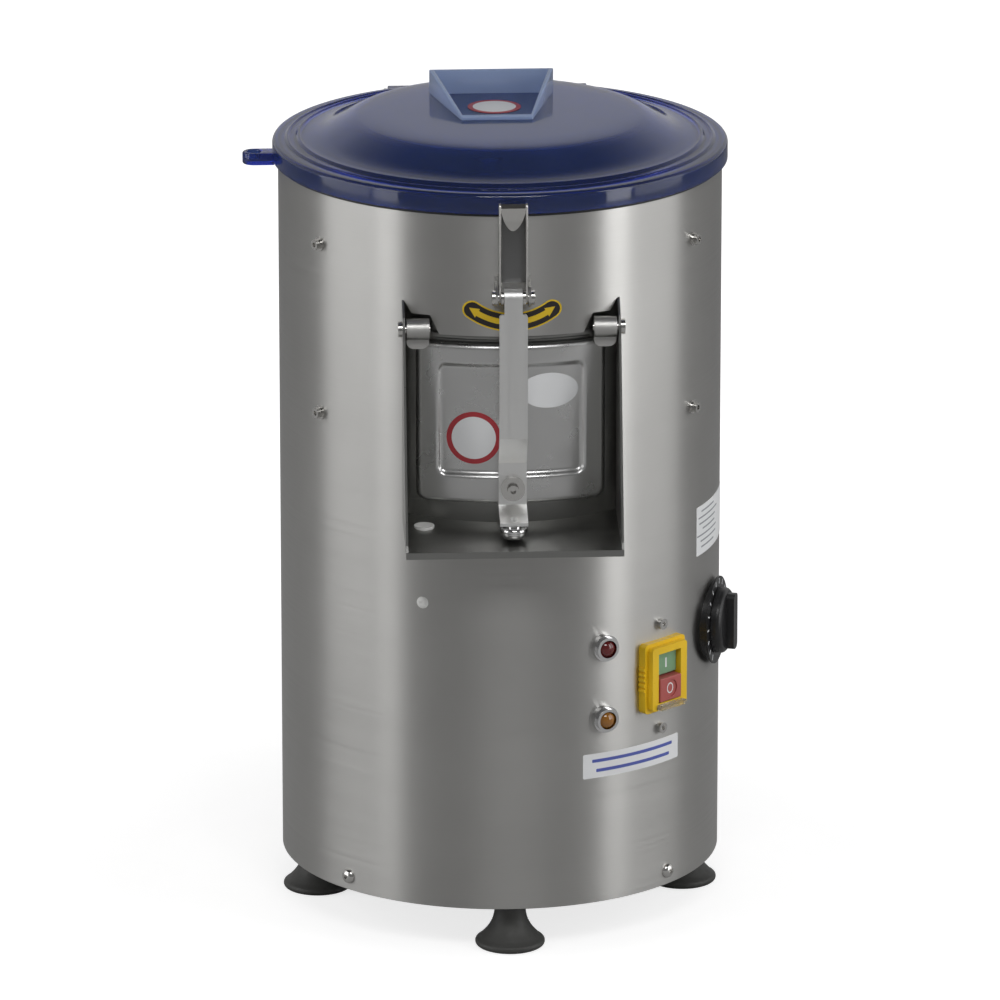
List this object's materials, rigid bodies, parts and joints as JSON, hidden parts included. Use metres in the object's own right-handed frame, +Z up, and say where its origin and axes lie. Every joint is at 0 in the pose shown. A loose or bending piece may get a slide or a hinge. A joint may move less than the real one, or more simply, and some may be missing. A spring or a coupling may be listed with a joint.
{
  "type": "electric potato peeler",
  "caption": "Upright steel drum machine on four feet, with a hinged see-through lid, a spinning abrasive disc and a front discharge door held by a lever and clamp bar.",
  "frame": {"origin": "on the casing axis at floor level", "axes": "+Z up, the discharge chute faces -Y, +X is to the right of a person facing the chute"},
  "size_m": [0.4448, 0.502, 0.757],
  "materials": {
    "steel": "brushed",
    "zinc": "satin",
    "chrome": "polished",
    "cast_alloy": "cast",
    "foot_rubber": "matt",
    "seal_rubber": "matt",
    "lid_blue": "see-through gloss",
    "yellow_plastic": "satin",
    "green_plastic": "satin",
    "red_plastic": "satin",
    "clear_plastic": "clear",
    "red_lens": "gloss",
    "amber_lens": "gloss",
    "black_plastic": "satin",
    "white_plastic": "satin",
    "abrasive": "coarse grit",
    "motor_grey": "painted",
    "bright_steel": "turned"
  },
  "bodies": {
    "stand": {"abrasive_lining": "abrasive", "amber_lens": "amber_lens", "base_plate": "zinc", "base_screws": "bright_steel", "bearing_housing": "cast_alloy", "cable_gland": "black_plastic", "casing": "steel", "casing_screws": "bright_steel", "chamber_floor": "steel", "control_box": "black_plastic", "discharge_chute": "steel", "door_pins": "bright_steel", "drain_spout": "steel", "drive_belt": "seal_rubber", "drum": "steel", "drum_spacers": "zinc", "foot_bolts": "zinc", "hole_plugs": "white_plastic", "lamp_bezels": "chrome", "latch_bolt": "bright_steel", "latch_bracket": "steel", "lid_gasket": "seal_rubber", "lid_hinge_bolts": "bright_steel", "lid_hinge_brackets": "zinc", "lid_sensor": "black_plastic", "motor_body": "motor_grey", "motor_bracket": "zinc", "red_lens": "red_lens", "rubber_feet": "foot_rubber", "run_capacitor": "white_plastic", "shaft_bearings": "bright_steel", "shaft_seal": "seal_rubber", "switch_body": "black_plastic", "switch_cover": "clear_plastic", "switch_frame": "yellow_plastic", "switch_screws": "bright_steel", "timer_body": "black_plastic", "timer_dial": "clear_plastic", "water_inlet": "bright_steel"},
    "lid": {"lid_shell": "lid_blue", "lid_magnet": "bright_steel"},
    "door": {"door_panel": "cast_alloy", "door_hinge_straps": "steel", "door_seal": "seal_rubber"},
    "clamp": {"clamp_bar": "steel", "clamp_boss": "bright_steel", "clamp_screw": "bright_steel", "clamp_pad": "seal_rubber", "pull_knob": "chrome"},
    "lever": {"lever_channel": "steel", "lever_tip": "bright_steel"},
    "start_button": {"start_button": "green_plastic"},
    "stop_button": {"stop_button": "red_plastic"},
    "timer": {"timer_knob": "black_plastic"},
    "disc": {"abrasive_disc": "abrasive", "main_shaft": "bright_steel", "disc_nut": "cast_alloy", "driven_pulley": "cast_alloy"},
    "rotor": {"drive_pulley": "cast_alloy", "motor_shaft": "bright_steel"}
  },
  "joints": [
    {"name": "lid_hinge", "type": "hinge", "parent": "stand", "child": "lid", "pos_m": [0, 0.215, 0.692], "axis": [-1, 0, 0], "range_deg": [0, 100]},
    {"name": "door_hinge", "type": "hinge", "parent": "stand", "child": "door", "pos_m": [0, -0.189, 0.585], "axis": [-1, 0, 0], "range_deg": [0, 50]},
    {"name": "clamp_hinge", "type": "hinge", "parent": "stand", "child": "clamp", "pos_m": [0, -0.215, 0.62], "axis": [-1, 0, 0], "range_deg": [0, 50]},
    {"name": "lever_hinge", "type": "hinge", "parent": "stand", "child": "lever", "pos_m": [0, -0.215, 0.62], "axis": [1, 0, 0], "range_deg": [0, 75]},
    {"name": "start_press", "type": "slide", "parent": "stand", "child": "start_button", "axis": [-0.682, 0.7314, 0], "range_m": [0, 0.003], "stiffness_N_per_m": 400, "springref_m": -0.002},
    {"name": "stop_press", "type": "slide", "parent": "stand", "child": "stop_button", "axis": [-0.682, 0.7314, 0], "range_m": [0, 0.003], "stiffness_N_per_m": 400, "springref_m": -0.002},
    {"name": "timer_turn", "type": "hinge", "parent": "stand", "child": "timer", "pos_m": [0.19021, -0.0618, 0.271], "axis": [-0.9511, 0.309, 0], "range_deg": [0, 300]},
    {"name": "disc_spin", "type": "hinge", "parent": "stand", "child": "disc", "pos_m": [0, 0, 0.405], "axis": [0, 0, 1], "continuous": true},
    {"name": "motor_spin", "type": "hinge", "parent": "stand", "child": "rotor", "pos_m": [-0.085, 0.085, 0.307], "axis": [0, 0, 1], "continuous": true}
  ],
  "couplings": [
    {"joint": "clamp_hinge", "follows": "door_hinge", "ratio": 1},
    {"joint": "motor_spin", "follows": "disc_spin", "ratio": 4.4}
  ]
}
